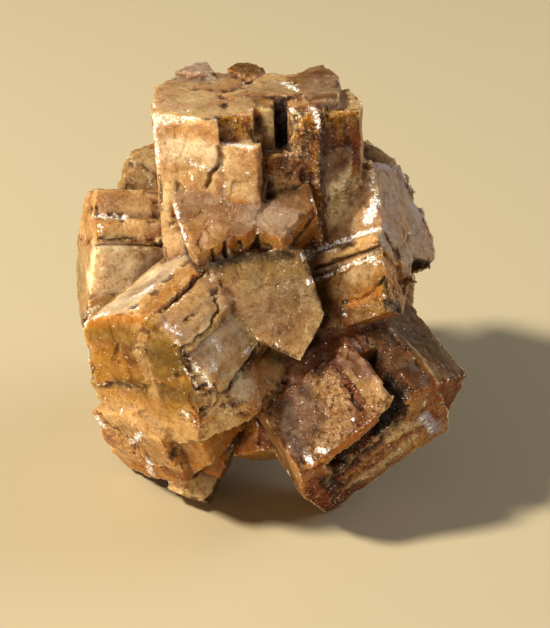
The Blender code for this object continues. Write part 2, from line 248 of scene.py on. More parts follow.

# painted marks: tint, width in mm, how strongly it covers, and the picture points that it runs through;
# white and cream marks are mostly painted highlights (glints) with a few pale scratches and streaks, and go
# to the glint-and-wear layer; glow marks are painted glows, bluish ones painted reflections, and dark marks
# in holes, gaps, pits and under ledges painted shade; a later mark lies over an earlier one
marks = {
    "topEdgeGlint": ("white", 0.6, 1.0, [(152, 117), (165, 119), (178, 121)]),
    "topEdgeGlintRight": ("white", 0.35, 0.9, [(178, 120), (196, 117)]),
    "topLeftGlint": ("white", 0.4, 0.9, [(153, 119), (155, 150)]),
    "topLeftGlintLow": ("cream", 0.32, 0.9, [(156, 152), (158, 182), (160, 210)]),
    "topCornerGlint": ("white", 0.4, 0.9, [(151, 96), (152, 108)]),
    "topStain": ("orange", 1.0, 0.6, [(173, 131), (190, 134), (205, 130), (214, 138)]),
    "topPale": ("milk", 1.8, 0.5, [(170, 148), (200, 150), (215, 158)]),
    "topStreak": ("white", 0.35, 0.7, [(186, 161), (196, 166), (208, 170)]),
    "topLowerGlow": ("gold", 2.2, 0.35, [(180, 178), (200, 176)]),
    "blockEdge": ("rust", 0.35, 0.85, [(258, 150), (259, 175), (259, 200)]),
    "blockLedgeGlint": ("white", 0.5, 0.95, [(224, 143), (238, 144), (250, 146)]),
    "blockLowerEdge": ("orange", 0.3, 0.7, [(225, 199), (245, 203), (257, 204)]),
    "recessStreakA": ("umber", 0.22, 0.8, [(226, 120), (230, 130), (235, 139)]),
    "recessStreakB": ("umber", 0.25, 0.8, [(231, 119), (235, 132)]),
    "recessStreakC": ("rust", 0.25, 0.9, [(241, 117), (247, 130), (251, 138)]),
    "recessStreakD": ("rust", 0.22, 0.9, [(247, 116), (252, 128)]),
    # painted shade in the hole beside the rib
    "ribGap": ("umber", 1.0, 0.8, [(280, 108), (280, 146)]),
    "ribEdge": ("darkRed", 0.3, 0.8, [(288, 108), (289, 148)]),
    "roofEdgeGlint": ("white", 0.5, 0.9, [(284, 82), (290, 86), (296, 90)]),
    "roofEdgeGlintLow": ("cream", 0.5, 0.9, [(291, 106), (296, 116)]),
    "grainGlint": ("cream", 0.5, 0.9, [(312, 108), (316, 114), (318, 124)]),
    "grainStreakA": ("rust", 0.4, 0.7, [(298, 120), (300, 145)]),
    "grainStreakB": ("darkRed", 0.35, 0.7, [(305, 125), (306, 150)]),
    "grainStreakC": ("darkRed", 0.5, 0.7, [(322, 115), (322, 145)]),
    # painted shade under the ledge
    "underLedgeShade": ("darkRed", 1.3, 0.75, [(282, 164), (300, 170)]),
    "underLedgeRed": ("rust", 0.8, 0.7, [(264, 170), (273, 166)]),
    "rightBlockGlow": ("gold", 1.4, 0.75, [(332, 118), (344, 116), (354, 114)]),
    "rightBlockShade": ("darkRed", 1.5, 0.8, [(328, 160), (340, 158), (350, 152)]),
    "rightBlockShadeLow": ("darkRed", 1.1, 0.7, [(328, 178), (334, 174), (344, 166)]),
    "leftLedgeGlint": ("white", 0.45, 0.95, [(97, 216), (110, 217), (124, 217)]),
    "leftRimGlint": ("cream", 0.35, 0.8, [(99, 222), (101, 230)]),
    "leftBelowCrack": ("cocoa", 0.4, 0.4, [(98, 251), (118, 252), (130, 255)]),
    "leftLowerStain": ("cocoa", 0.35, 0.7, [(96, 293), (108, 291), (117, 287)]),
    "rearLeftGlint": ("cream", 0.3, 0.8, [(113, 173), (119, 178)]),
    "browLeftEdge": ("white", 0.35, 0.95, [(173, 203), (177, 216), (182, 232), (187, 246)]),
    "browGlow": ("honey", 2.4, 0.5, [(195, 230), (205, 240), (215, 236)]),
    "browPink": ("duskyPink", 2.2, 0.4, [(200, 206), (222, 212)]),
    "browLilac": ("lavender", 2.0, 0.6, [(258, 215), (272, 220), (285, 222)]),
    # painted shade in the gap below the brow
    "browGap": ("umber", 0.7, 0.85, [(212, 264), (235, 259), (262, 256), (290, 256)]),
    "browGapRight": ("umber", 0.5, 0.85, [(290, 247), (303, 232), (315, 215)]),
    "middleTop": ("olive", 1.4, 0.35, [(225, 275), (255, 268), (290, 266)]),
    "middleRed": ("plum", 1.8, 0.6, [(262, 318), (280, 326)]),
    "middleLip": ("bone", 0.6, 0.85, [(231, 318), (243, 330), (256, 340)]),
    "middleRightPale": ("bone", 1.1, 0.5, [(318, 300), (322, 318), (310, 335)]),
    "rightGlintHigh": ("cream", 0.35, 0.7, [(371, 168), (373, 188)]),
    "rightGlint": ("white", 0.7, 1.0, [(374, 200), (371, 210), (368, 220)]),
    "rightUpperLedge": ("cream", 0.45, 0.95, [(303, 258), (320, 250), (345, 240), (378, 229)]),
    "rightUpperSpark": ("white", 0.6, 1.0, [(304, 258), (312, 256)]),
    "rightUpperBright": ("white", 0.45, 0.9, [(345, 241), (365, 234)]),
    "rightLowerLedge": ("cream", 0.4, 0.9, [(308, 282), (330, 273), (350, 265), (379, 254)]),
    "rightLowerBright": ("white", 0.5, 0.9, [(368, 258), (378, 262)]),
    "rightFacet": ("bone", 1.3, 0.45, [(352, 275), (368, 268)]),
    "rightRust": ("rust", 0.35, 0.8, [(330, 264), (355, 256), (378, 247)]),
    "rightLowerRust": ("orange", 0.7, 0.7, [(352, 302), (366, 298), (378, 290)]),
    # painted shade in the pits below the right crystal's end
    "rightPit": ("umber", 1.2, 0.9, [(414, 263), (424, 268), (422, 278)]),
    "rightPitRed": ("darkRed", 0.9, 0.85, [(412, 275), (405, 290)]),
    "rightPitLow": ("umber", 0.9, 0.9, [(390, 305), (400, 308)]),
    # painted reflections of the cool lamp along the right crystal's end
    "rightCoolReflectionHigh": ("bluish", 0.6, 0.5, [(375, 163), (392, 168), (407, 178)]),
    "rightCoolReflectionMiddle": ("bluish", 0.4, 0.4, [(393, 188), (400, 195)]),
    "rightCoolReflectionRim": ("bluish", 0.6, 0.55, [(412, 206), (420, 215), (425, 224)]),
    "rightCoolReflectionInner": ("bluish", 0.9, 0.3, [(386, 225), (394, 232)]),
    "rightCoolReflectionLow": ("bluish", 0.5, 0.4, [(430, 240), (434, 252)]),
    "rightKnob": ("darkOlive", 0.6, 0.9, [(411, 192), (415, 195)]),
    "rightEndTan": ("honey", 1.4, 0.6, [(385, 262), (398, 268)]),
    # painted highlight along the ridge
    "ridgePale": ("bone", 0.4, 0.7, [(165, 260), (140, 277), (115, 296), (96, 309)]),
    "cornerPale": ("cream", 0.5, 0.8, [(84, 325), (88, 315), (98, 306)]),
    "cornerGlint": ("white", 0.45, 1.0, [(96, 316), (105, 313)]),
    "stripGlintA": ("white", 0.5, 1.0, [(133, 297), (142, 294), (151, 286)]),
    "stripGlintC": ("cream", 0.35, 0.9, [(132, 309), (138, 306)]),
    "stripGlintD": ("white", 0.35, 0.9, [(160, 321), (168, 326), (177, 333)]),
    "stripEdgePale": ("cream", 0.3, 0.8, [(172, 305), (188, 290), (203, 276)]),
    "stripFacetA": ("white", 0.3, 0.85, [(214, 340), (220, 349)]),
    "stripFacetB": ("white", 0.3, 0.85, [(212, 360), (216, 369)]),
    "stripOrange": ("orange", 0.9, 0.5, [(148, 316), (160, 300), (172, 288)]),
    "flankGlint": ("cream", 0.4, 0.9, [(245, 352), (255, 345)]),
    "frontRimGlow": ("orange", 0.8, 0.6, [(92, 324), (110, 321), (128, 318), (146, 325)]),
    "frontBrown": ("darkOlive", 1.4, 0.3, [(92, 335), (110, 336), (128, 333)]),
    "frontLeftEdge": ("bone", 0.4, 0.6, [(84, 338), (88, 365), (98, 395)]),
    "frontWindow": ("darkOlive", 1.7, 0.7, [(128, 356), (155, 354), (172, 360)]),
    "frontWindowLow": ("darkOlive", 1.5, 0.7, [(120, 386), (160, 391), (192, 394)]),
    "frontBand": ("paleHoney", 0.9, 0.7, [(141, 328), (138, 350), (146, 372), (154, 395)]),
    "frontBandLow": ("honey", 1.8, 0.6, [(105, 400), (135, 402), (155, 410)]),
    "frontScratchA": ("cream", 0.35, 0.8, [(176, 342), (188, 358), (200, 372), (212, 388)]),
    "frontScratchB": ("cream", 0.28, 0.7, [(184, 364), (192, 378), (200, 392)]),
    "frontScratchC": ("cream", 0.3, 0.75, [(183, 412), (193, 420), (203, 428)]),
    "frontOrange": ("orange", 0.8, 0.6, [(196, 415), (204, 424), (212, 420)]),
    "frontLowerRim": ("honey", 0.5, 0.7, [(150, 438), (180, 444), (208, 441), (240, 427), (258, 413)]),
    "flankPale": ("milk", 1.2, 0.5, [(238, 374), (240, 395), (250, 385)]),
    "flankRed": ("darkRed", 0.5, 0.8, [(229, 402), (237, 408)]),
    "flankGap": ("umber", 0.4, 0.8, [(230, 387), (244, 372), (258, 355)]),
    "lowerGlintA": ("white", 0.65, 1.0, [(98, 419), (102, 426)]),
    "lowerGlintB": ("white", 0.4, 0.95, [(131, 444), (136, 438), (141, 433)]),
    "lowerGlintC": ("white", 0.7, 0.8, [(148, 462), (151, 474)]),
    "lowerRedA": ("rust", 0.9, 0.5, [(103, 432), (112, 440)]),
    "lowerRedB": ("rust", 1.4, 0.7, [(165, 470), (180, 476)]),
    "footTipPale": ("cream", 0.45, 0.8, [(180, 501), (193, 505)]),
    "slabPale": ("tan", 2.0, 0.75, [(325, 386), (338, 402), (336, 428), (320, 448)]),
    "slabGlintD": ("cream", 0.5, 0.9, [(318, 449), (330, 452)]),
    "slabGlintE": ("white", 0.55, 1.0, [(306, 455), (311, 462)]),
    "slabCrackShade": ("rust", 0.35, 0.8, [(345, 382), (356, 396), (363, 410)]),
    "slabOrangeEdge": ("orange", 0.5, 0.75, [(305, 468), (330, 458), (352, 440), (372, 424)]),
    "knobPale": ("tan", 1.2, 0.7, [(366, 372), (380, 388), (374, 406)]),
    # painted shade: the dome beneath the right crystal, reddish and darkened as shade
    "domeRed": ("darkRed", 2.0, 0.85, [(322, 352), (340, 352), (356, 356), (366, 366)]),
    # painted shade in the cavity
    "cavityBlack": ("soot", 1.3, 0.9, [(388, 382), (398, 395), (392, 412), (378, 425)]),
    "cavityRed": ("darkRed", 0.9, 0.7, [(340, 470), (358, 460), (375, 445)]),
    "rimPale": ("bone", 1.1, 0.8, [(388, 440), (405, 428), (418, 424)]),
    "rimBand": ("bone", 0.9, 0.85, [(352, 484), (374, 470), (398, 452), (412, 438)]),
    # painted reflection: a blue-white glint on the foot's rim
    "rimGlint": ("bluish", 0.9, 0.85, [(424, 416), (430, 424), (436, 430)]),
    "rimCool": ("greyTan", 0.6, 0.7, [(438, 420), (446, 425)]),
    "rimBottom": ("darkRed", 2.4, 0.85, [(318, 486), (334, 502), (350, 492)]),
    "rimBottomDark": ("umber", 0.9, 0.7, [(322, 480), (338, 488), (346, 482)]),
    "footCornerPale": ("bone", 0.45, 0.8, [(280, 478), (292, 490), (302, 500)]),
    # painted highlight along the flank's chipped edge
    "flankEdgeHighlight": ("bone", 0.3, 0.85, [(405, 338), (422, 358), (438, 384)]),
    "slabLeftDark": ("cocoa", 2.0, 0.8, [(290, 400), (294, 425), (300, 445)]),
    "rimOrange": ("orange", 0.8, 0.6, [(362, 494), (392, 474), (430, 444)]),
    "rimBottomRust": ("rust", 0.7, 0.8, [(312, 480), (320, 494), (330, 506)]),
    "frontGlowLow": ("paleHoney", 2.0, 0.75, [(108, 408), (150, 426), (190, 436), (222, 428)]),
    "frontAmberTop": ("rust", 1.0, 0.35, [(100, 345), (125, 350), (140, 372)]),
    # painted light: the shoulder is painted pale where the top crystal's shadow falls on it
    "shoulderPale": ("bone", 1.6, 0.8, [(334, 214), (344, 200), (352, 186)]),
    "footDomeLight": ("cocoa", 1.2, 0.6, [(345, 356), (356, 362)]),
    "recessRed": ("rust", 0.5, 0.6, [(222, 132), (228, 138), (238, 140)]),
    "roofBand": ("bone", 1.5, 0.6, [(165, 112), (200, 112), (235, 108)]),
    "roofLilac": ("lavender", 1.4, 0.6, [(175, 80), (200, 76), (215, 80)]),
    "roofPlum": ("plum", 1.4, 0.5, [(255, 90), (280, 92), (270, 82)]),
    # painted reflection of the cool lamp on the block's rim
    "blockRimCoolReflection": ("bluish", 0.4, 0.8, [(338, 72), (341, 82)]),
    "grainStreakD": ("cocoa", 0.3, 0.7, [(310, 122), (311, 150)]),
    "rightBlockStreakA": ("umber", 0.3, 0.7, [(333, 122), (334, 150)]),
    "rightBlockStreakB": ("umber", 0.3, 0.6, [(345, 118), (346, 146)]),
    "rightBlockStreakC": ("gold", 0.3, 0.6, [(339, 118), (340, 138)]),
    "rightEndLilac": ("lavender", 1.6, 0.4, [(388, 200), (394, 222), (398, 240)]),
    "rightEndPink": ("duskyPink", 1.6, 0.5, [(404, 232), (416, 245)]),
    "footTipOlive": ("olive", 0.9, 0.6, [(186, 492), (196, 484)]),
    "crackleGap": ("umber", 0.45, 0.8, [(186, 247), (192, 262), (198, 268)]),
    "leftSeamStain": ("rust", 0.5, 0.6, [(100, 243), (130, 242), (152, 236), (160, 228)]),
    "stripSeamStain": ("rust", 0.4, 0.7, [(150, 321), (165, 307), (180, 293), (205, 268)]),
    # painted shade in the crevice beside the shoulder
    "topShoulderCreviceShade": ("umber", 0.5, 0.7, [(321, 158), (322, 190), (323, 225)]),
    "middleShade": ("cocoa", 1.8, 0.3, [(278, 300), (300, 310), (290, 335)]),
    "rightRimGlint": ("white", 0.35, 0.8, [(398, 168), (410, 182), (420, 200), (428, 222), (433, 238)]),
    "rightEndWarm": ("tan", 1.5, 0.6, [(400, 195), (408, 212), (402, 232)]),
    "flankOrange": ("orange", 1.1, 0.6, [(256, 372), (262, 390), (252, 412)]),
    "frontOrangeWash": ("orange", 2.2, 0.25, [(92, 350), (104, 372), (118, 366)]),
    "rimGlintEdge": ("white", 0.35, 0.9, [(422, 418), (432, 432)]),
    # painted light: the lower side lies in shade and is painted pale as if lit
    "leftLowerPale": ("milk", 2.6, 0.9, [(100, 262), (125, 264), (118, 278), (100, 282)]),
    "rimBandRust": ("rust", 0.35, 0.8, [(360, 488), (388, 468), (416, 446)]),
    "slabLeftShade": ("umber", 1.2, 0.45, [(286, 405), (290, 430), (296, 450)]),
    "flankGrey": ("greyTan", 1.2, 0.35, [(432, 330), (450, 360)]),
}

# painted highlights: single white glints
paintedGlints = {
    "width": 0.28,  # mm
    "cover": 0.8,
    "at": [
        (187, 111), (308, 66), (351, 101), (355, 107), (248, 173), (252, 195), (267, 151), (345, 183),
        (91, 192), (133, 160), (187, 192), (314, 201), (258, 233), (296, 349), (266, 342), (277, 346),
        (383, 296), (345, 317), (123, 302), (168, 310), (115, 425), (122, 410), (343, 409), (353, 420),
        (329, 433), (332, 436), (335, 392), (358, 482), (364, 477), (373, 471), (389, 445), (399, 449),
        (404, 443), (192, 176), (203, 166)],
}

# cracks: width and depth in mm, and the picture points
cracks = {
    "topCrack": (0.3, 0.5, [(218, 147), (220, 160), (212, 172), (206, 187)]),
    "browCrackA": (0.3, 0.7, [(225, 243), (226, 256)]),
    "browCrackB": (0.28, 0.6, [(257, 236), (258, 249)]),
    "browCrackC": (0.25, 0.4, [(240, 241), (241, 250)]),
    "browCrackD": (0.25, 0.4, [(213, 250), (215, 260)]),
    "rightCrack": (0.22, 0.45, [(314, 268), (334, 262), (358, 254), (378, 246)]),
    "rightLowCrack": (0.2, 0.3, [(342, 302), (362, 299), (376, 289), (384, 277)]),
    "leftCrackUpper": (0.22, 0.45, [(99, 240), (125, 240), (154, 240)]),
    "leftCrackLower": (0.2, 0.35, [(97, 246), (125, 244), (150, 245)]),
    "stripCrack": (0.16, 0.25, [(150, 321), (165, 307), (180, 293), (205, 268)]),
    "stripCrackRight": (0.22, 0.45, [(217, 297), (218, 311), (210, 326), (188, 345)]),
    "flankCrack": (0.4, 0.8, [(231, 386), (245, 368), (257, 350)]),
    "slabCrack": (0.22, 0.4, [(346, 384), (352, 392), (354, 400), (363, 410)]),
    "trough": (1.0, 0.9, [(336, 478), (358, 462), (380, 445), (398, 428), (404, 412)]),
}

# gaps that are nearly closed: width of the strip that rises and its height in mm, and the picture points
closedGaps = {
    "stripGap": (1.0, 0.42, [(150, 323), (165, 309), (180, 295), (205, 270)]),
    "stripGapRight": (0.8, 0.2, [(222, 300), (216, 322), (190, 346)]),
    "leftGap": (0.9, 0.3, [(97, 243), (125, 243), (156, 242)]),
}

# broken, granular ground: width of the patch and height of its lumps in mm, and the picture points
roughGround = {
    "recess": (1.8, 0.2, [(228, 118), (250, 125)]),
    "grainRib": (2.2, 0.35, [(297, 115), (300, 145), (318, 120)]),
    "belowRecess": (2.0, 0.25, [(268, 165), (295, 178)]),
    "rightBlockTop": (1.8, 0.3, [(330, 116), (355, 112)]),
    "shoulder": (1.8, 0.3, [(334, 205), (350, 185)]),
    "endScratches": (0.9, 0.18, [(180, 345), (195, 370), (208, 392)]),
    "endFlower": (1.5, 0.16, [(185, 415), (205, 425)]),
    "flank": (1.6, 0.22, [(228, 405), (248, 412)]),
    "lowerLeft": (2.6, 0.32, [(105, 425), (125, 440), (150, 465)]),
    "slab": (2.2, 0.35, [(325, 390), (340, 425), (320, 450)]),
    "knob": (1.2, 0.25, [(372, 400), (385, 410)]),
    "cavity": (1.6, 0.4, [(345, 470), (375, 440), (395, 415)]),
    "rim": (1.6, 0.32, [(350, 478), (390, 450), (425, 428)]),
    "bottom": (2.6, 0.32, [(318, 488), (340, 502)]),
    "rightLowerEnd": (1.6, 0.35, [(385, 300), (400, 285), (418, 270)]),
    "rightRim": (1.3, 0.3, [(395, 168), (412, 188), (424, 215), (433, 245)]),
}

# the fine surface
surfaceSettings = {
    "voxel": 0.18,  # mm, the grid that the surface is rebuilt on
    "quickVoxel": 0.30,
    "mostTriangles": 195000,
    "swell": 0.08,  # mm, slow unevenness of every face
    "facets": 0.22,  # mm, flat chips in every face
    "flakes": 0.26,  # mm, large leaning facets
    "smallFlakes": 0.16,  # mm, small leaning facets
    "ridges": 0.035,  # mm, fine ridges along a crystal's sides
    "seams": 0.22,  # mm, depth of the fine seams along a crystal's sides
    "terraces": 0.07,  # mm, low steps along a crystal's sides
    "tooth": 0.06,  # mm, small lumps everywhere
    "chips": 0.55,  # mm, how deep the edges are broken
    "chipReach": 0.75,  # mm, how far from the edge the breaks go
    "sameFace": 2.5,  # degrees, flatter joints than this are one face
    "sharpEdge": 18.0,  # degrees, sharper joints than this are an edge
    "crispEdge": 20.0,  # degrees, sharper creases of the finished surface stay crisp
    "hollowLooks": 22,  # directions tried for finding hollows
    "hollowReach": 7.0,  # mm
    "floorSkin": 0.12,  # mm, the feet stay flat below this height
    "scatteredGrain": 0.16,  # mm, height of the grains outside the named patches
}

# each noise: the size of its lumps in mm, and its seed
noises = {
    "swell": (4.5, 3),
    "facets": (2.6, 5),
    "smallFlakes": (1.1, 9),
    "tooth": (0.9, 11),
    "ridges": (0.5, 23),
    "terraces": (1.9, 31),
    "bites": (1.3, 13),
    "grains": (0.85, 17),
    "crumbs": (0.45, 61),
    "growth": (2.1, 161),
    "growthWaver": (1.6, 163),
    "growthBreaks": (2.8, 167),
    "innerFacets": (2.2, 103),
    "drifts": (1.4, 107),
    "streaks": (0.5, 109),
    "hollowRims": (1.5, 137),
}

# patches: size in mm, seed, and the noise at which a patch begins and is full
patchNoises = {
    "facets": (5.0, 7, -0.3, 0.4),
    "flakes": (6.0, 19, -0.5, 0.3),
    "smallFlakes": (3.5, 29, -0.2, 0.5),
    "grains": (7.0, 71, 0.30, 0.55),
    "clouds": (3.0, 101, -0.65, 0.65),
    "pale": (2.4, 151, 0.15, 0.65),
    "amber": (2.9, 153, 0.15, 0.65),
    "stains": (1.2, 113, -0.4, 0.4),
    "seamStains": (0.9, 117, -0.3, 0.3),
    "rustClouds": (4.2, 127, 0.15, 0.75),
    "wornEdges": (0.9, 131, 0.0, 0.45),
}
crackWander = 0.8  # mm, size of the bends in a crack
crackRagged = 0.2  # how uneven the edges of cracks and closed gaps are

# the seed of each table's first row; the next rows count on from it
firstSeed = {"roughGround": 50, "wander": 80, "cracks": 90, "closedGaps": 120, "paintedGlints": 139, "marks": 140}


def scatter(cells, seed):
    # a steady random number from 0 to 1 for each cell of a grid
    across, along, up = cells.T
    stirred = (across * 73856093) ^ (along * 19349663) ^ (up * 83492791) ^ (seed * 2654435761)
    stirred = ((stirred ^ (stirred >> 13)) * 1274126177) & 0x7FFFFFFFFFFF
    return ((stirred ^ (stirred >> 16)) & 0xFFFF) / 65535


def latticeNoise(points, scale, seed):
    # smooth noise from -1 to 1 for each point; scale is the size of its lumps
    cell = points / scale + seed * np.array((17.3, 7.9, 31.7))
    base = np.floor(cell).astype(np.int64)
    part = cell - base
    ease = part * part * (3 - 2 * part)
    total = np.zeros(len(points))
    for corner in itertools.product((0, 1), repeat=3):
        share = np.prod(np.where(np.array(corner) == 1, ease, 1 - ease), axis=1)
        total += (scatter(base + np.array(corner), 0) * 2 - 1) * share
    return total


def layeredNoise(points, scale, seed, layers=3):
    # lumps with smaller lumps on them
    total = np.zeros(len(points))
    for layer in range(layers):
        total += latticeNoise(points, scale / 2 ** layer, seed + layer) / 2 ** layer
    return total / 1.6  # back to about -1 to 1


def brokenFacets(points, size, seed):
    # flat facets that meet in creases, as in broken crystal: for each point the height above the crease,
    # the facet's random shade, and the height on the facet's own leaning plane
    farOff, widest = 9.0, 1.4
    cell = points / size + seed * np.array((11.1, 23.7, 5.3))
    base = np.floor(cell).astype(np.int64)
    nearest = np.full(len(points), farOff)
    second = np.full(len(points), farOff)
    shade = np.zeros(len(points))
    plane = np.zeros(len(points))
    for corner in itertools.product((-1, 0, 1), repeat=3):
        at = base + np.array(corner)
        spread = np.stack([scatter(at, seed + side) for side in (1, 2, 3)], axis=1)
        middle = at + spread
        gap = ((cell - middle) ** 2).sum(axis=1)
        closer = gap < nearest
        second = np.where(closer, nearest, np.minimum(second, gap))
        shade = np.where(closer, scatter(at, seed + 4), shade)
        lean = scatter(at[:, [1, 2, 0]], seed + 5)[:, None] - spread[:, [2, 0, 1]]
        plane = np.where(closer, ((cell - middle) * lean).sum(axis=1), plane)
        nearest = np.where(closer, gap, nearest)
    return np.clip(second - nearest, 0, widest) / widest, shade * 2 - 1, plane


def smoothStep(low, high, value):
    # 0 below low, 1 above high, and a soft rise between them
    share = np.clip((value - low) / (high - low), 0, 1)
    return share * share * (3 - 2 * share)


def patches(points, name):
    # 1 inside this noise's patches and 0 outside
    size, seed, low, high = patchNoises[name]
    return smoothStep(low, high, layeredNoise(points, size, seed))


def mixed(colour, tint, share):
    # each point's colour, with its share of the named tint
    return colour * (1 - share[:, None]) + tints[tint] * share[:, None]


def weldedSolid():
    welding = 0.001 * mm
    bm = bmesh.new()
    bm.from_mesh(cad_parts["crystal_cluster"].data)
    bmesh.ops.remove_doubles(bm, verts=bm.verts, dist=welding)
    bmesh.ops.dissolve_degenerate(bm, edges=bm.edges, dist=welding)
    bm.normal_update()
    return bm


def flatFaces(bm):
    # joins the solid's triangles into flat faces and returns the face number of each triangle
    bm.faces.ensure_lookup_table()
    number = [-1] * len(bm.faces)
    largest = math.radians(surfaceSettings["sameFace"])
    count = 0
    for start in bm.faces:
        if number[start.index] >= 0:
            continue
        number[start.index] = count
        waiting = [start]
        while waiting:
            face = waiting.pop()
            for edge in face.edges:
                for other in edge.link_faces:
                    if number[other.index] < 0 and start.normal.angle(other.normal, 0) < largest:
                        number[other.index] = count
                        waiting.append(other)
        count += 1
    return np.array(number), count


def axisOf(angles):
    azimuth, elevation = (math.radians(angle) for angle in angles)
    flat = math.cos(elevation)
    return np.array((math.cos(azimuth) * flat, math.sin(azimuth) * flat, math.sin(elevation)))


def describeFaces(bm, number, count):
    # for each flat face its normal, its crystal's axis, whether it is an end, and its two tints
    normals = np.zeros((count, 3))
    middles = np.zeros((count, 3))
    areas = np.zeros(count)
    for face in bm.faces:
        area = face.calc_area()
        normals[number[face.index]] += np.array(face.normal) * area
        middles[number[face.index]] += np.array(face.calc_center_median()) * area
        areas[number[face.index]] += area
    normals /= np.maximum(np.linalg.norm(normals, axis=1, keepdims=True), 1e-12)
    middles = middles / np.maximum(areas, 1e-15)[:, None] / mm - np.array(growthCentre)
    axes = np.array([axisOf(angles) for angles, _, _ in crystals.values()])
    along = middles @ axes.T
    lean = normals @ axes.T
    aside = np.linalg.norm(middles[:, None, :] - along[:, :, None] * axes[None], axis=2)
    # a face belongs to the crystal whose end or side it fits best; an end looks along the axis, far out
    never, endLean, endReach = 99, 0.9, 10
    endCost = np.where((lean > endLean) & (along > endReach), (1 - lean) * 10 + aside / 10, never)
    sideCost = np.where(along > 0, np.abs(lean) * 4 + aside / 12, never)
    best = np.minimum(endCost, sideCost).argmin(axis=1)
    rows = np.arange(count)
    isEnd = endCost[rows, best] <= sideCost[rows, best]
    pairs = np.array([(tints[side], tints[end]) for _, side, end in crystals.values()])
    return {
        "normal": normals, "axis": axes[best], "isEnd": isEnd,
        "first": pairs[best, isEnd.astype(int)], "second": pairs[best, 1 - isEnd.astype(int)],
        "grain": np.full(count, 2 * plainGrain),
    }


def seenFrom(tree, u, v):
    # the spot on the stone that shows at a picture point, and the triangle there
    spot, _, triangle, _ = tree.ray_cast(cameraPlace * mm, sightLine(u, v))
    return spot, triangle


def paintNamedFaces(tree, number, described):
    for name, (at, first, second, *grain) in faces.items():
        spot, triangle = seenFrom(tree, *at)
        if spot is None:
            print("face not found:", name)
            continue
        which = number[triangle]
        described["first"][which] = tints[first]
        described["second"][which] = tints[second]
        described["grain"][which] = grain[0] if grain else plainGrain


def edgeTrees(bm):
    # spots along the solid's outward and inward edges, for finding how near an edge is
    sharpest = math.radians(surfaceSettings["sharpEdge"])
    spacing = 0.15  # mm
    spots = {True: [], False: []}
    for edge in bm.edges:
        if len(edge.link_faces) != 2 or edge.calc_face_angle(0) < sharpest:
            continue
        outward = edge.calc_face_angle_signed(0) > 0
        steps = max(1, int(edge.calc_length() / mm / spacing))
        for step in range(steps + 1):
            spots[outward].append(edge.verts[0].co.lerp(edge.verts[1].co, step / steps))
    trees = []
    for outward in (True, False):
        tree = KDTree(len(spots[outward]))
        for index, spot in enumerate(spots[outward]):
            tree.insert(spot / mm, index)
        tree.balance()
        trees.append(tree)
    return trees


def placeLine(tree, along):
    # a line of picture points put on the stone, as spots in mm
    spacing = 1.5  # pixels
    spots = []
    for (u0, v0), (u1, v1) in zip(along, along[1:]):
        steps = max(1, int(math.hypot(u1 - u0, v1 - v0) / spacing))
        for step in range(steps + 1):
            share = step / steps
            spot, _ = seenFrom(tree, u0 + (u1 - u0) * share, v0 + (v1 - v0) * share)
            if spot is not None:
                spots.append(np.array(spot) / mm)
    return np.array(spots).reshape(-1, 3)


def coverage(points, spots, width, seed, ragged=0.35):
    # 1 on the line and 0 beyond its width, with an edge that wanders
    cover = np.zeros(len(points))
    if not len(spots):
        return cover
    reach = width * 1.6  # past the most that the edge wanders
    near = np.all((points > spots.min(0) - reach) & (points < spots.max(0) + reach), axis=1)
    close = points[near]
    if not len(close):
        return cover
    farOff, whole, smallestLump = 99.0, 0.45, 0.5
    gap = np.full(len(close), farOff)
    for spot in spots:
        gap = np.minimum(gap, np.linalg.norm(close - spot, axis=1))
    gap *= 1 + ragged * layeredNoise(close, max(width * 0.8, smallestLump), seed)
    cover[near] = 1 - smoothStep(whole * width, width, gap)
    return cover


def readSolid(bm):
    # the solid's flat faces, its edges, and where every named line lies on it
    number, count = flatFaces(bm)
    described = describeFaces(bm, number, count)
    tree = BVHTree.FromBMesh(bm)
    paintNamedFaces(tree, number, described)
    outwardEdges, inwardEdges = edgeTrees(bm)
    lines = {}
    for group in (marks, cracks, closedGaps, roughGround):
        for name, row in group.items():
            lines[name] = placeLine(tree, row[-1])
    lines["paintedGlints"] = np.concatenate([placeLine(tree, [spot, spot]) for spot in paintedGlints["at"]])
    print(f"solid read: {count} flat faces, {len(lines)} marks placed")
    return {"number": number, "faces": described, "tree": tree, "lines": lines,
            "outwardEdges": outwardEdges, "inwardEdges": inwardEdges}


def hollowness(points, normals, tree):
    # how much of the sky above each point is closed off by stone within a few millimetres, from 0 to 1
    looks = surfaceSettings["hollowLooks"]
    reach = surfaceSettings["hollowReach"] * mm
    lift, level = 0.25, 0.15  # mm above the surface, and the flattest look that counts
    turn = math.pi * (3 - math.sqrt(5))
    heights = [1 - (2 * look + 1) / looks for look in range(looks)]
    ways = []
    for look, height in enumerate(heights):
        flat = math.sqrt(1 - height * height)
        ways.append(Vector((flat * math.cos(turn * look), flat * math.sin(turn * look), height)))
    lean = normals @ np.array(ways).T
    closed = np.zeros(len(points))
    for index, (point, normal) in enumerate(zip(points, normals)):
        start = Vector(point + normal * lift) * mm
        for way in np.flatnonzero(lean[index] > level):
            if tree.ray_cast(start, ways[way], reach)[0] is not None:
                closed[index] += lean[index, way]
    return closed / np.maximum(np.where(lean > level, lean, 0).sum(axis=1), 1e-6)


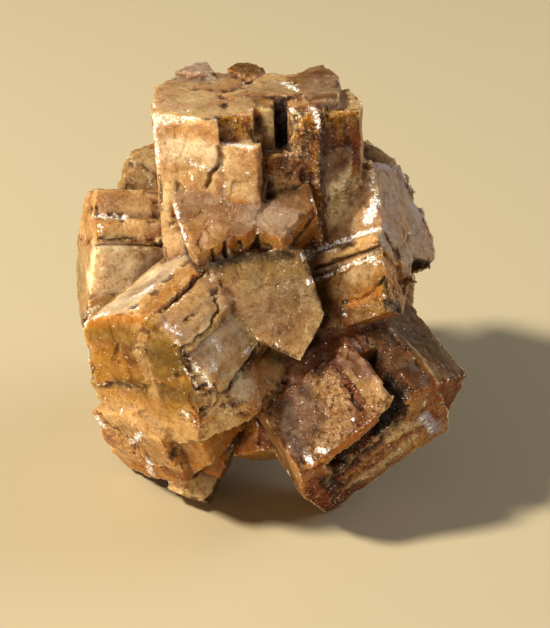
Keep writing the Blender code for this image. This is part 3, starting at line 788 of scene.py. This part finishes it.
def readGround(points, solid):
    # what the relief and the paint need to know at each point of the fine surface
    nearest = [solid["tree"].find_nearest(Vector(point) * mm)[2] for point in points]
    face = solid["number"][np.array(nearest)]
    described = solid["faces"]
    ground = {
        "points": points,
        "face": face,
        "isEnd": described["isEnd"][face],
        "outward": np.array([solid["outwardEdges"].find(point)[2] for point in points]),
        "inward": np.array([solid["inwardEdges"].find(point)[2] for point in points]),
        "seen": smoothStep(-0.1, 0.1, described["normal"][face] @ np.array(towardCamera)),
    }
    # coordinates across a crystal's side and slowly along its axis, so that ridges follow the crystal
    alongShare, faceShift = 0.12, 1.37
    axis = described["axis"][face]
    across = np.cross(described["normal"][face], axis)
    across /= np.maximum(np.linalg.norm(across, axis=1, keepdims=True), 1e-6)
    centred = points - np.array(growthCentre)
    ground["side"] = np.stack([
        (centred * across).sum(axis=1), (centred * axis).sum(axis=1) * alongShare, face * faceShift], axis=1)
    return ground


def roughCovers(ground, solid):
    # how much each patch of broken ground covers each point, and the height of its lumps
    for seed, (name, (width, height, _)) in enumerate(roughGround.items(), firstSeed["roughGround"]):
        cover = coverage(ground["points"], solid["lines"][name], width, seed) * ground["seen"]
        yield cover, height


def growthLines(ground):
    # fine seams along the crystals' sides: 1 in the seam, 0 beside it
    points = ground["points"]
    waver = 0.3 * latticeNoise(points, *noises["growthWaver"])
    off = np.abs(latticeNoise(ground["side"], *noises["growth"]) + waver)
    broken = smoothStep(-0.1, 0.4, latticeNoise(points, *noises["growthBreaks"]))
    # fainter on the side that the named cracks and marks are on
    strength = np.where(ground["isEnd"], 0.0, 1 - 0.75 * ground["seen"])
    return (1 - smoothStep(0.02, 0.06, off)) * broken * strength


def reliefOf(ground, solid):
    # how far each point rises from the solid's faces, in mm
    setting = surfaceSettings
    points = ground["points"]
    sides = np.where(ground["isEnd"], 0.0, 1.0)

    chipHeight, _, chipPlane = brokenFacets(points, *noises["facets"])
    raised = setting["swell"] * layeredNoise(points, *noises["swell"])
    raised += setting["facets"] * (chipHeight - 0.4) * patches(points, "facets")
    raised += setting["flakes"] * chipPlane * patches(points, "flakes")
    smallHeight, smallShade, smallPlane = brokenFacets(points, *noises["smallFlakes"])
    raised += setting["smallFlakes"] * smallPlane * patches(points, "smallFlakes")
    raised += setting["tooth"] * (layeredNoise(points, *noises["tooth"]) + smallHeight * smallShade)
    raised += sides * setting["ridges"] * latticeNoise(ground["side"], *noises["ridges"])
    steps = latticeNoise(ground["side"], *noises["terraces"]) * 3
    whole = np.floor(steps)
    raised += sides * setting["terraces"] * (whole + smoothStep(0.8, 1.0, steps - whole)) / 3
    raised -= setting["seams"] * growthLines(ground)

    # broken edges, chipped in flat bites
    wear = 1 - smoothStep(0.0, setting["chipReach"], ground["outward"])
    biteHeight, biteShade, _ = brokenFacets(points, *noises["bites"])
    bites = np.clip(biteShade - 0.1, 0, 1) * (0.5 + biteHeight)
    raised -= wear * setting["chips"] * (0.1 + bites)

    # granular ground, in named patches and scattered over the rest
    grainHeight, grainShade, _ = brokenFacets(points, *noises["grains"])
    grit = grainHeight - 0.4 + 0.35 * grainShade + 0.4 * latticeNoise(points, *noises["crumbs"])
    for cover, height in roughCovers(ground, solid):
        raised += cover * height * grit
    raised += patches(points, "grains") * setting["scatteredGrain"] * grit

    # gaps that close and cracks that open
    for seed, (name, (width, height, _)) in enumerate(closedGaps.items(), firstSeed["closedGaps"]):
        raised += coverage(points, solid["lines"][name], width, seed, crackRagged) * height
    bends = [latticeNoise(points, crackWander, firstSeed["wander"] + side) for side in range(3)]
    wander = points + crackRagged * np.stack(bends, axis=1)
    for seed, (name, (width, depth, _)) in enumerate(cracks.items(), firstSeed["cracks"]):
        cover = coverage(wander, solid["lines"][name], width, seed, crackRagged)
        raised -= cover * ground["seen"] * depth
    return raised


# how strongly each kind of colour covers
paintSettings = {
    "drift": 0.14,  # soft drifts of light and dark
    "innerFacets": 0.05,  # flat patches inside the stone
    "streak": 0.07,  # faint lines along the sides
    "pale": 0.45,
    "amber": 0.38,
    "growthLines": 0.6,
    "stain": 0.55,  # iron stain where crystals meet
    "seamStain": 0.5,
    "rustClouds": 0.3,
    # hollows: rust stain, and painted shade that darkens them
    "hollowRust": 0.30,
    "hollowShade": 0.60,
    "edgePaleAndSheen": 0.5,  # broken edges: pale with wear, and painted highlights where they catch the light
    "edgeWearAndGlints": 0.6,
    "glintMarkTint": 0.35,  # a white or cream mark's own tint, under its painted highlight
    "patchGrain": 0.9,
    "crackDark": 0.85,
}


def paintOf(ground, solid, hollow):
    # each point's colour, its share of wear and painted highlight, and how granular it is
    paint = paintSettings
    points = ground["points"]
    described = solid["faces"]
    face = ground["face"]

    share = patches(points, "clouds")[:, None]
    colour = described["first"][face] * (1 - share) + described["second"][face] * share
    grain = described["grain"][face].copy()

    # cloudy crystal
    _, innerShade, _ = brokenFacets(points, *noises["innerFacets"])
    streak = latticeNoise(ground["side"], *noises["streaks"]) * np.where(ground["isEnd"], 0.1, 0.5)
    drift = paint["drift"] * layeredNoise(points, *noises["drifts"])
    drift = drift + paint["innerFacets"] * innerShade + paint["streak"] * streak
    colour = colour * (1 + drift[:, None])
    pale = smoothStep(0.04, 0.28, colour.mean(axis=1)) * patches(points, "pale")
    colour = mixed(colour, "bone", paint["pale"] * pale)
    colour = mixed(colour, "amber", paint["amber"] * patches(points, "amber"))
    colour = mixed(colour, "cocoa", paint["growthLines"] * growthLines(ground))

    # iron stain gathers where crystals meet
    stain = (1 - smoothStep(0.05, 1.0, ground["inward"])) * patches(points, "stains")
    colour = mixed(colour, "rust", paint["stain"] * stain)
    seam = (1 - smoothStep(0.05, 0.35, ground["inward"])) * patches(points, "seamStains")
    colour = mixed(colour, "umber", paint["seamStain"] * seam)
    colour = mixed(colour, "rust", paint["rustClouds"] * patches(points, "rustClouds"))

    # hollows: rust stain, and umber painted shade, darker where more of the sky is closed off
    deep = smoothStep(0.30, 0.90, hollow + 0.15 * layeredNoise(points, *noises["hollowRims"]))
    colour = mixed(colour, "rust", paint["hollowRust"] * deep)
    colour = mixed(colour, "umber", paint["hollowShade"] * deep ** 3)

    # broken edges: pale with wear, and painted highlights where they catch the light
    edgeWearAndSheen = (1 - smoothStep(0.05, 0.32, ground["outward"])) * patches(points, "wornEdges")
    colour = mixed(colour, "cream", paint["edgePaleAndSheen"] * edgeWearAndSheen)
    glintAndWear = paint["edgeWearAndGlints"] * edgeWearAndSheen

    for seed, (name, (tint, width, cover, _)) in enumerate(marks.items(), firstSeed["marks"]):
        share = coverage(points, solid["lines"][name], width, seed) * ground["seen"] * cover
        # white and cream marks are mostly painted highlights: they go to the glint-and-wear layer
        if tint in ("white", "cream"):
            glintAndWear = np.maximum(glintAndWear, share)
            colour = mixed(colour, tint, paint["glintMarkTint"] * share)
        else:
            glintAndWear = glintAndWear * (1 - share)
            colour = mixed(colour, tint, share)
    share = coverage(points, solid["lines"]["paintedGlints"], paintedGlints["width"], firstSeed["paintedGlints"])
    glintAndWear = np.maximum(glintAndWear, share * ground["seen"] * paintedGlints["cover"])
    for cover, _ in roughCovers(ground, solid):
        grain = np.maximum(grain, cover * paint["patchGrain"])
    for seed, (name, (width, _, _)) in enumerate(cracks.items(), firstSeed["cracks"]):
        share = coverage(points, solid["lines"][name], width * 0.9, seed, crackRagged)
        colour = mixed(colour, "umber", paint["crackDark"] * (share * ground["seen"]))
    return np.clip(colour, 0.002, 1), np.clip(glintAndWear, 0, 1), np.clip(grain, 0, 1)


def pointsOf(mesh, what="co"):
    # the mesh's points, or their normals, as an array
    flat = np.zeros(len(mesh.vertices) * 3, np.float32)
    mesh.vertices.foreach_get(what, flat)
    return flat.reshape(-1, 3).astype(float)


def setPoints(mesh, points):
    # moves the mesh's points, in mm, and keeps them above the floor
    above = points.copy()
    above[:, 2] = np.maximum(points[:, 2], 0)
    mesh.vertices.foreach_set("co", (above * mm).astype(np.float32).ravel())
    mesh.update()
    return above


def applied(thing):
    # the object's mesh with its modifiers applied
    bpy.context.view_layer.update()
    mesh = bpy.data.meshes.new_from_object(thing.evaluated_get(bpy.context.evaluated_depsgraph_get()))
    thing.modifiers.clear()
    return mesh


def makeCluster():
    # the solid rebuilt as a fine mesh, cut in relief and painted
    bm = weldedSolid()
    solid = readSolid(bm)
    mesh = bpy.data.meshes.new("crystalCluster")
    bm.to_mesh(mesh)
    bm.free()
    cluster = bpy.data.objects.new("crystalCluster", mesh)
    bpy.context.scene.collection.objects.link(cluster)
    remesh = cluster.modifiers.new("rebuild", "REMESH")
    remesh.mode = "VOXEL"
    remesh.voxel_size = surfaceSettings["voxel"] * mm
    cluster.data = applied(cluster)
    points = pointsOf(cluster.data) / mm
    print(f"surface rebuilt: {len(points)} points")

    raised = reliefOf(readGround(points, solid), solid)
    byFloor = points[:, 2] < surfaceSettings["floorSkin"]
    raised = np.where(byFloor, np.minimum(raised, 0) * 0.2, raised)
    setPoints(cluster.data, points + pointsOf(cluster.data, "normal") * raised[:, None])
    print("relief cut")

    triangles = sum(len(face.vertices) - 2 for face in cluster.data.polygons)
    thin = cluster.modifiers.new("thin", "DECIMATE")
    thin.ratio = min(1.0, surfaceSettings["mostTriangles"] / triangles)
    cluster.data = applied(cluster)
    cluster.data.name = "crystalCluster"
    cluster.data.shade_smooth()
    cluster.data.set_sharp_from_angle(angle=math.radians(surfaceSettings["crispEdge"]))
    points = setPoints(cluster.data, pointsOf(cluster.data) / mm)
    hollow = hollowness(points, pointsOf(cluster.data, "normal"), solid["tree"])
    print("hollows found")
    colour, glintAndWear, grain = paintOf(readGround(points, solid), solid, hollow)
    tintLayer = cluster.data.attributes.new("tint", "FLOAT_COLOR", "POINT")
    withAlpha = np.column_stack([colour, np.ones(len(colour))])
    tintLayer.data.foreach_set("color", withAlpha.astype(np.float32).ravel())
    for name, values in (("glintAndWear", glintAndWear), ("grain", grain)):
        layer = cluster.data.attributes.new(name, "FLOAT", "POINT")
        layer.data.foreach_set("value", values.astype(np.float32))
    print(f"painted: {len(cluster.data.polygons)} triangles")
    return cluster


# the stone's finish
stoneFinish = {
    "subsurface": 0.75,
    "subsurfaceRadius": (1.0, 0.72, 0.38),
    "subsurfaceScale": 0.0028,  # metres
    "ior": 1.53,
    "specular": 0.25,
    "roughness": (0.15, 0.78),  # smooth faces, granular ground
    "lumpBump": 0.55,
    "lumpDepth": 0.00008,  # metres
    "chipBump": 0.5,
    "chipDepth": 0.00005,
    "grainBump": 0.9,
    "grainDepth": 0.00025,
}

# layers over the painted colour: the tint and how strongly it covers; sparkle, glitter and points are
# painted highlights
colourLayers = {
    "veil": ((0.80, 0.64, 0.44, 1), 0.14),
    "shade": ((0.62, 0.48, 0.34, 1), 0.65),
    "fineShade": ((0.62, 0.48, 0.34, 1), 0.70),
    "speck": ((0.16, 0.08, 0.04, 1), 0.75),
    "grit": ((0.34, 0.16, 0.07, 1), 0.75),
    "sparkle": ((0.98, 0.96, 0.92, 1), 1.0),
    "glitter": ((0.98, 0.96, 0.92, 1), 0.45),
    "points": ((0.98, 0.96, 0.92, 1), 0.8),
}


def makeStone():
    material = bpy.data.materials.new("aragonite")
    material.use_nodes = True
    tree = material.node_tree
    nodes, links = tree.nodes, tree.links
    surface = nodes["Principled BSDF"]
    surface.inputs["Subsurface Weight"].default_value = stoneFinish["subsurface"]
    surface.inputs["Subsurface Radius"].default_value = stoneFinish["subsurfaceRadius"]
    surface.inputs["Subsurface Scale"].default_value = stoneFinish["subsurfaceScale"]
    surface.inputs["IOR"].default_value = stoneFinish["ior"]
    surface.inputs["Specular IOR Level"].default_value = stoneFinish["specular"]

    def node(kind, **values):
        # a new node; each value goes to the socket or the setting of that name
        made = nodes.new(kind)
        for key, value in values.items():
            if key in made.inputs:
                made.inputs[key].default_value = value
            else:
                setattr(made, key, value)
        return made

    def ramp(source, low, high):
        # 0 where the source is below low, 1 where it is above high
        made = node("ShaderNodeMapRange", interpolation_type="SMOOTHSTEP")
        made.inputs["From Min"].default_value = low
        made.inputs["From Max"].default_value = high
        links.new(source, made.inputs["Value"])
        return made.outputs["Result"]

    def times(one, other, how="MULTIPLY"):
        made = node("ShaderNodeMath", operation=how)
        for socket, value in zip(made.inputs, (one, other)):
            if isinstance(value, float):
                socket.default_value = value
            else:
                links.new(value, socket)
        return made.outputs[0]

    def blend(amount, under, layer, how="MIX"):
        # lays the named layer over a colour, where the amount is high
        laid, share = colourLayers[layer]
        made = node("ShaderNodeMix", data_type="RGBA", blend_type=how)
        links.new(times(amount, share), made.inputs[0])
        links.new(under, made.inputs[6])
        made.inputs[7].default_value = laid
        return made.outputs[2]

    place = node("ShaderNodeTexCoord").outputs["Object"]
    tint = node("ShaderNodeAttribute", attribute_name="tint").outputs["Color"]
    glintAndWear = node("ShaderNodeAttribute", attribute_name="glintAndWear").outputs["Fac"]
    grain = node("ShaderNodeAttribute", attribute_name="grain").outputs["Fac"]

    def cloud(size, detail, roughness=0.55):
        # soft noise with lumps of this size in mm
        made = node("ShaderNodeTexNoise", Scale=1 / (size * mm), Detail=float(detail), Roughness=roughness)
        links.new(place, made.inputs["Vector"])
        return made.outputs["Fac"]

    def cells(size):
        # distance to the nearest of scattered points, this many mm apart
        made = node("ShaderNodeTexVoronoi", Scale=1 / (size * mm))
        links.new(place, made.inputs["Vector"])
        return made.outputs["Distance"]

    # colour: pale veils, darker clouds, brown specks, gritty hollows, and painted highlights: white sparkle
    # where glints and worn edges lie, white glitter on granular ground and scattered white points
    colour = blend(ramp(cloud(1.1, 5), 0.45, 0.70), tint, "veil")
    colour = blend(ramp(cloud(0.9, 5, 0.6), 0.48, 0.68), colour, "shade", "MULTIPLY")
    colour = blend(ramp(cloud(0.28, 4, 0.7), 0.50, 0.66), colour, "fineShade", "MULTIPLY")
    specks = times(ramp(cells(0.35), 0.20, 0.08), ramp(cloud(2.5, 2), 0.48, 0.62))
    colour = blend(specks, colour, "speck")
    crumbs = cloud(0.40, 3, 0.6)
    colour = blend(times(ramp(crumbs, 0.52, 0.62), grain), colour, "grit", "MULTIPLY")
    glintNoise = times(cloud(0.30, 4, 0.7), times(glintAndWear, 0.13), "ADD")
    sparkle = times(ramp(glintNoise, 0.56, 0.64), ramp(glintAndWear, 0.02, 0.30))
    colour = blend(sparkle, colour, "sparkle")
    glitter = times(ramp(cloud(0.24, 3, 0.6), 0.60, 0.68), grain)
    colour = blend(glitter, colour, "glitter")
    # painted highlights: scattered white points
    points = times(ramp(cloud(0.26, 1), 0.68, 0.76), ramp(cloud(2.4, 3), 0.46, 0.56))
    colour = blend(points, colour, "points")
    links.new(colour, surface.inputs["Base Color"])

    smooth, coarse = stoneFinish["roughness"]
    rough = node("ShaderNodeMapRange")
    rough.inputs["To Min"].default_value = smooth
    rough.inputs["To Max"].default_value = coarse
    links.new(times(times(grain, 0.5), times(cloud(0.9, 4), 0.9), "ADD"), rough.inputs["Value"])
    links.new(rough.outputs["Result"], surface.inputs["Roughness"])

    lumps = node("ShaderNodeBump", Strength=stoneFinish["lumpBump"], Distance=stoneFinish["lumpDepth"])
    links.new(cloud(0.5, 6, 0.65), lumps.inputs["Height"])
    chips = node("ShaderNodeBump", Strength=stoneFinish["chipBump"], Distance=stoneFinish["chipDepth"])
    links.new(cells(0.45), chips.inputs["Height"])
    links.new(lumps.outputs["Normal"], chips.inputs["Normal"])
    grit = node("ShaderNodeBump", Distance=stoneFinish["grainDepth"])
    links.new(times(grain, stoneFinish["grainBump"]), grit.inputs["Strength"])
    links.new(crumbs, grit.inputs["Height"])
    links.new(chips.outputs["Normal"], grit.inputs["Normal"])
    links.new(grit.outputs["Normal"], surface.inputs["Normal"])
    return material


# floor and light
stageSettings = {
    "floorColour": (0.82, 0.765, 0.635),
    "floorRoughness": 0.8,
    "floorSize": 3.0,  # metres
    "skyColour": (1.0, 0.94, 0.85),
    "skyStrength": 0.14,
    "keyFrom": (-0.63, -0.13, 0.76),
    "keyDistance": 0.6,  # metres
    "keySize": 0.08,
    "keyPower": 4.15,
    "keyColour": (1.0, 0.93, 0.80),
    "fillFrom": (-0.52, -0.83, 0.20),
    "fillSize": 0.4,
    "fillGloss": 0.15,  # the soft lamps hardly show in the stone's gloss
    "fillPower": 2.7,
    "fillColour": (1.0, 0.96, 0.90),
    "coolFrom": (0.85, 0.25, 0.35),
    "coolPower": 1.9,
    "coolColour": (0.86, 0.90, 1.0),
    "exposure": 0.10,
    "contrast": 0.86,  # below 1 deepens the shadows
}


def makeFloor():
    bm = bmesh.new()
    bmesh.ops.create_grid(bm, x_segments=1, y_segments=1, size=stageSettings["floorSize"] / 2)
    mesh = bpy.data.meshes.new("floor")
    bm.to_mesh(mesh)
    bm.free()
    floor = bpy.data.objects.new("floor", mesh)
    material = bpy.data.materials.new("paleFloor")
    material.use_nodes = True
    surface = material.node_tree.nodes["Principled BSDF"]
    surface.inputs["Base Color"].default_value = (*linear(stageSettings["floorColour"]), 1)
    surface.inputs["Roughness"].default_value = stageSettings["floorRoughness"]
    mesh.materials.append(material)
    bpy.context.scene.collection.objects.link(floor)


def makeLamp(name, size, light, gloss, litOnly=None):
    # an area light that looks at the stone, from stageSettings[light + "From"];
    # litOnly is the one thing that it lights
    lamp = bpy.data.lights.new(name, "AREA")
    lamp.shape = "DISK"
    lamp.size = size
    lamp.energy = stageSettings[light + "Power"]
    lamp.color = stageSettings[light + "Colour"]
    lamp.specular_factor = gloss
    placed = bpy.data.objects.new(name, lamp)
    direction = Vector(stageSettings[light + "From"]).normalized()
    placed.location = growthCentre * mm + direction * stageSettings["keyDistance"]
    placed.rotation_euler = direction.to_track_quat("Z", "Y").to_euler()
    bpy.context.scene.collection.objects.link(placed)
    if litOnly:
        reached = bpy.data.collections.new(name + "Reach")
        reached.objects.link(litOnly)
        placed.light_linking.receiver_collection = reached


def makeLight(stone):
    # the fill lights the stone alone, so that the floor beneath it stays dark
    makeLamp("keyLight", stageSettings["keySize"], "key", 1.0)
    makeLamp("fillLight", stageSettings["fillSize"], "fill", stageSettings["fillGloss"], stone)
    makeLamp("coolLight", stageSettings["fillSize"], "cool", stageSettings["fillGloss"])
    world = bpy.data.worlds.new("softSky")
    world.use_nodes = True
    sky = world.node_tree.nodes["Background"]
    sky.inputs["Color"].default_value = (*stageSettings["skyColour"], 1)
    sky.inputs["Strength"].default_value = stageSettings["skyStrength"]
    bpy.context.scene.world = world
    view = bpy.context.scene.view_settings
    view.view_transform = "Standard"
    view.exposure = stageSettings["exposure"]
    view.gamma = stageSettings["contrast"]


makeCamera()
cluster = makeCluster()
cluster.data.materials.clear()
cluster.data.materials.append(makeStone())
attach(cluster, "root")
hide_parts("crystal_cluster")
makeFloor()
makeLight(cluster)
print("stage set")
